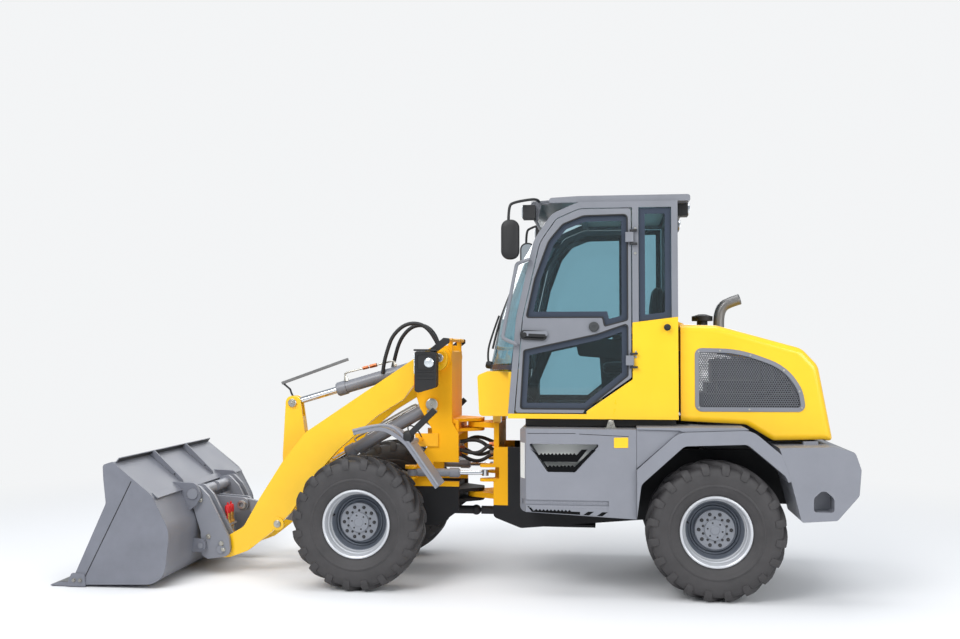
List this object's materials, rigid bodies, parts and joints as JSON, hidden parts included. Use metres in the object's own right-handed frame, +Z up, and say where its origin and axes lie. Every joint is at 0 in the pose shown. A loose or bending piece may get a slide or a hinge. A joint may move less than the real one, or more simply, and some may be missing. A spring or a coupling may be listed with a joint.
{
  "type": "articulated wheel loader",
  "caption": "Compact articulated wheel loader with a glazed cab, lug tyres, hydraulic arms, quick coupler and earth bucket; steers at a centre hinge.",
  "frame": {"origin": "on the ground, under the middle of the whole machine's length and width", "axes": "+X forward, towards the bucket's edge; +Y towards the machine's left; +Z up"},
  "size_m": [5.8075, 1.8, 2.862],
  "materials": {
    "yellow_paint": "gloss",
    "grey_paint": "satin",
    "dark_paint": "satin",
    "rim_paint": "satin",
    "tyre": "matte",
    "steel": "matte",
    "chrome_rod": "polished",
    "glass": "clear",
    "black_plastic": "matte"
  },
  "bodies": {
    "rear": {"rear_frame": "dark_paint", "rear_axle": "dark_paint", "engine_block": "steel", "rear_shaft": "steel", "counterweight": "grey_paint", "rear_fenders": "grey_paint", "side_boxes": "grey_paint", "cab_base": "yellow_paint", "cab_frame": "grey_paint", "cab_roof": "grey_paint", "cab_lamps": "black_plastic", "windscreen": "glass", "rear_window": "glass", "quarter_windows": "glass", "seat": "black_plastic", "steering_column": "black_plastic", "mirrors": "black_plastic", "handrails": "black_plastic", "door_hinges": "dark_paint"},
    "hood": {"hood": "yellow_paint", "hood_grilles": "dark_paint", "exhaust": "dark_paint", "pre_cleaner": "black_plastic"},
    "door_left": {"door_left": "grey_paint", "door_glass_left": "glass"},
    "door_right": {"door_right": "grey_paint", "door_glass_right": "glass"},
    "front": {"front_frame": "yellow_paint", "front_axle": "dark_paint", "front_shaft": "steel", "front_fenders": "grey_paint", "head_lamps": "black_plastic"},
    "arms": {"arms": "yellow_paint"},
    "attachment": {"coupler": "dark_paint", "bucket": "grey_paint"},
    "lever": {"lever": "yellow_paint"},
    "link": {"link": "yellow_paint"},
    "lift_barrels": {"lift_barrels": "grey_paint"},
    "lift_rods": {"lift_rods": "chrome_rod"},
    "tilt_barrel": {"tilt_barrel": "grey_paint"},
    "tilt_rod": {"tilt_rod": "chrome_rod"},
    "steer_barrel_left": {"steer_barrel_left": "grey_paint"},
    "steer_barrel_right": {"steer_barrel_right": "grey_paint"},
    "steer_rod_left": {"steer_rod_left": "chrome_rod"},
    "steer_rod_right": {"steer_rod_right": "chrome_rod"},
    "wheel_front_left": {"tyre_front_left": "tyre", "rim_front_left": "rim_paint"},
    "wheel_front_right": {"tyre_front_right": "tyre", "rim_front_right": "rim_paint"},
    "wheel_rear_left": {"tyre_rear_left": "tyre", "rim_rear_left": "rim_paint"},
    "wheel_rear_right": {"tyre_rear_right": "tyre", "rim_rear_right": "rim_paint"}
  },
  "joints": [
    {"name": "steer", "type": "hinge", "parent": "rear", "child": "front", "pos_m": [-0.164, 0, 0.9], "axis": [0, 0, 1], "range_deg": [-36, 36]},
    {"name": "lift", "type": "hinge", "parent": "front", "child": "arms", "pos_m": [0.076, 0, 1.69], "axis": [0, -1, 0], "range_deg": [0, 84]},
    {"name": "tilt", "type": "hinge", "parent": "arms", "child": "attachment", "pos_m": [1.791, 0, 0.2], "axis": [0, 1, 0], "range_deg": [-42, 125]},
    {"name": "lever_swing", "type": "hinge", "parent": "arms", "child": "lever", "pos_m": [1.316, 0, 0.8], "axis": [0, -1, 0], "range_deg": [-16, 45]},
    {"name": "link_swing", "type": "hinge", "parent": "lever", "child": "link", "pos_m": [1.176, 0, 0.38], "axis": [0, -1, 0], "range_deg": [-64, 22]},
    {"name": "tilt_barrel_swing", "type": "hinge", "parent": "arms", "child": "tilt_barrel", "pos_m": [0.076, 0, 1.69], "axis": [0, -1, 0], "range_deg": [-13, 5]},
    {"name": "tilt_rod_slide", "type": "slide", "parent": "tilt_barrel", "child": "tilt_rod", "axis": [0.9595, 0, -0.2818], "range_m": [-0.33, 0.12]},
    {"name": "lift_barrel_swing", "type": "hinge", "parent": "front", "child": "lift_barrels", "pos_m": [0.146, 0, 1.33], "axis": [0, -1, 0], "range_deg": [0, 84.5]},
    {"name": "lift_rod_slide", "type": "slide", "parent": "lift_barrels", "child": "lift_rods", "axis": [0.8702, 0, -0.4927], "range_m": [0, 0.5]},
    {"name": "door_left_hinge", "type": "hinge", "parent": "rear", "child": "door_left", "pos_m": [-1.373, 0.708, 2], "axis": [0, 0, 1], "range_deg": [0, 165]},
    {"name": "door_right_hinge", "type": "hinge", "parent": "rear", "child": "door_right", "pos_m": [-1.373, -0.708, 2], "axis": [0, 0, -1], "range_deg": [0, 165]},
    {"name": "hood_hinge", "type": "hinge", "parent": "rear", "child": "hood", "pos_m": [-1.716, 0, 1.948], "axis": [0, 1, 0], "range_deg": [0, 50]},
    {"name": "steer_barrel_left_swing", "type": "hinge", "parent": "front", "child": "steer_barrel_left", "pos_m": [0.296, 0.33, 0.812], "axis": [0, 0, 1], "range_deg": [-5, 5]},
    {"name": "steer_rod_left_slide", "type": "slide", "parent": "steer_barrel_left", "child": "steer_rod_left", "axis": [-0.9961, -0.0882, 0], "range_m": [-0.155, 0.155]},
    {"name": "steer_barrel_right_swing", "type": "hinge", "parent": "front", "child": "steer_barrel_right", "pos_m": [0.296, -0.33, 0.812], "axis": [0, 0, 1], "range_deg": [-5, 5]},
    {"name": "steer_rod_right_slide", "type": "slide", "parent": "steer_barrel_right", "child": "steer_rod_right", "axis": [-0.9961, 0.0882, 0], "range_m": [-0.155, 0.155]},
    {"name": "wheel_front_left_spin", "type": "hinge", "parent": "front", "child": "wheel_front_left", "pos_m": [0.616, 0.66, 0.485], "axis": [0, 1, 0], "continuous": true},
    {"name": "wheel_front_right_spin", "type": "hinge", "parent": "front", "child": "wheel_front_right", "pos_m": [0.616, -0.66, 0.485], "axis": [0, 1, 0], "continuous": true},
    {"name": "wheel_rear_left_spin", "type": "hinge", "parent": "rear", "child": "wheel_rear_left", "pos_m": [-1.944, 0.66, 0.485], "axis": [0, 1, 0], "continuous": true},
    {"name": "wheel_rear_right_spin", "type": "hinge", "parent": "rear", "child": "wheel_rear_right", "pos_m": [-1.944, -0.66, 0.485], "axis": [0, 1, 0], "continuous": true}
  ],
  "couplings": [
    {"joint": "lever_swing", "follows": "tilt", "ratio": 0.35},
    {"joint": "link_swing", "follows": "tilt", "ratio": -0.5},
    {"joint": "tilt_barrel_swing", "follows": "tilt", "ratio": -0.09},
    {"joint": "tilt_rod_slide", "follows": "tilt", "m_per_rad": -0.145},
    {"joint": "lift_barrel_swing", "follows": "lift", "ratio": 1},
    {"joint": "lift_rod_slide", "follows": "lift", "m_per_rad": 0.334},
    {"joint": "steer_barrel_left_swing", "follows": "steer", "ratio": -0.1},
    {"joint": "steer_barrel_right_swing", "follows": "steer", "ratio": -0.1},
    {"joint": "steer_rod_left_slide", "follows": "steer", "m_per_rad": -0.24},
    {"joint": "steer_rod_right_slide", "follows": "steer", "m_per_rad": 0.24}
  ]
}
